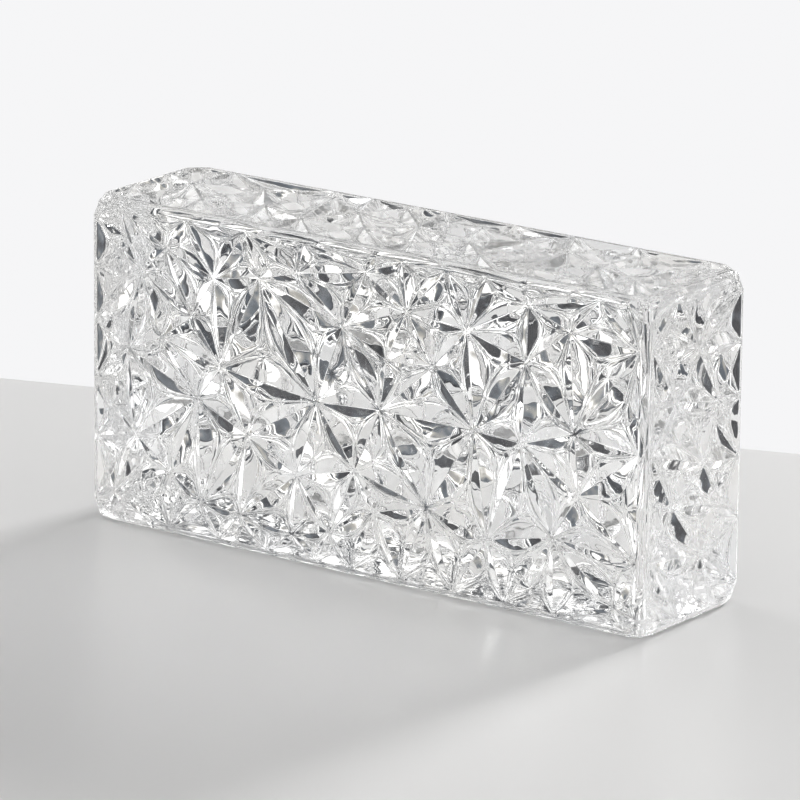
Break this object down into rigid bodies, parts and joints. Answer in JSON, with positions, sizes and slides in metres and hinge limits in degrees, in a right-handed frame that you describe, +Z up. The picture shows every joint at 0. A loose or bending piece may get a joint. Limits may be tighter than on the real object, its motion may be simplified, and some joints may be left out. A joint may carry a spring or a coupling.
{
  "type": "solid glass block",
  "caption": "Solid brick of clear cast glass with a faceted star relief on its open faces and a flat bed face, for laying up walls and screens that let light through.",
  "frame": {"origin": "centre of the bottom of the block, on the floor that its bed face rests on", "axes": "+X along its length, +Y through its thickness from the front broad face to the back one, +Z up"},
  "size_m": [0.2, 0.05, 0.1],
  "materials": {
    "clear_glass": "polished"
  },
  "bodies": {
    "root": {"glass_block": "clear_glass"}
  },
  "joints": []
}
